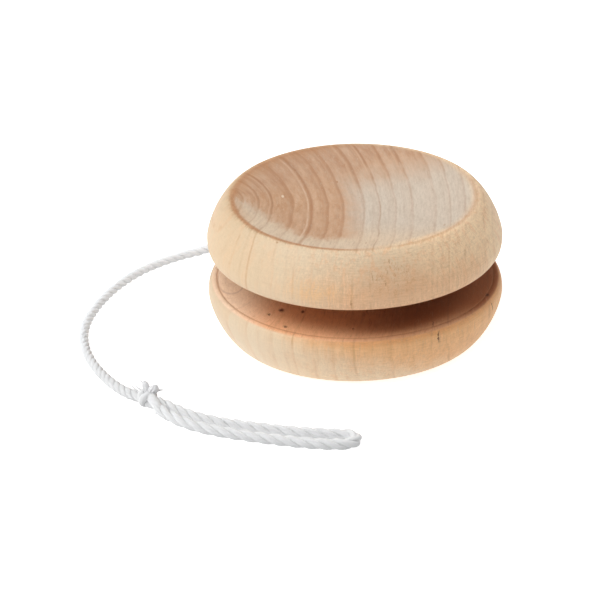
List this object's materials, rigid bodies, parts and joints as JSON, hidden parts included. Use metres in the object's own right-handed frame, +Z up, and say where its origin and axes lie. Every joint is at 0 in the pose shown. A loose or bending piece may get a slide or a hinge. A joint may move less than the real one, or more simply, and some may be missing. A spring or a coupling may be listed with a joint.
{
  "type": "yo-yo",
  "caption": "Turned wooden yo-yo: rounded halves with dished faces on a dowel axle, and a twisted cotton string with a knotted finger loop.",
  "frame": {"origin": "on the axle's line at the lower rim, which stands on the ground", "axes": "+Z up along the axle; the free string and its finger loop lie on the ground towards -X and -Y"},
  "size_m": [0.0821, 0.0836, 0.0277],
  "materials": {
    "wood_upper": "bare sanded pale hardwood with a dull sheen",
    "wood_lower": "bare sanded pale hardwood with a dull sheen",
    "wood_axle": "bare birch dowel",
    "cotton_string": "matt twisted white cotton"
  },
  "bodies": {
    "string_hub": {"string_winding": "cotton_string"},
    "yoyo": {"upper_half": "wood_upper", "lower_half": "wood_lower", "axle": "wood_axle"},
    "finger_end": {"string_run": "cotton_string", "string_knot": "cotton_string", "knot_tails": "cotton_string", "finger_loop": "cotton_string"}
  },
  "joints": [
    {"name": "spin", "type": "hinge", "parent": "string_hub", "child": "yoyo", "pos_m": [0, 0, 0.01383], "axis": [0, 0, 1], "range_deg": [0, 6120]},
    {"name": "pay_out", "type": "slide", "parent": "string_hub", "child": "finger_end", "axis": [-1, 0, 0], "range_m": [0, 0.7], "deforming": ["string_run"]}
  ],
  "couplings": [
    {"joint": "pay_out", "follows": "spin", "m_per_rad": 0.0065}
  ]
}
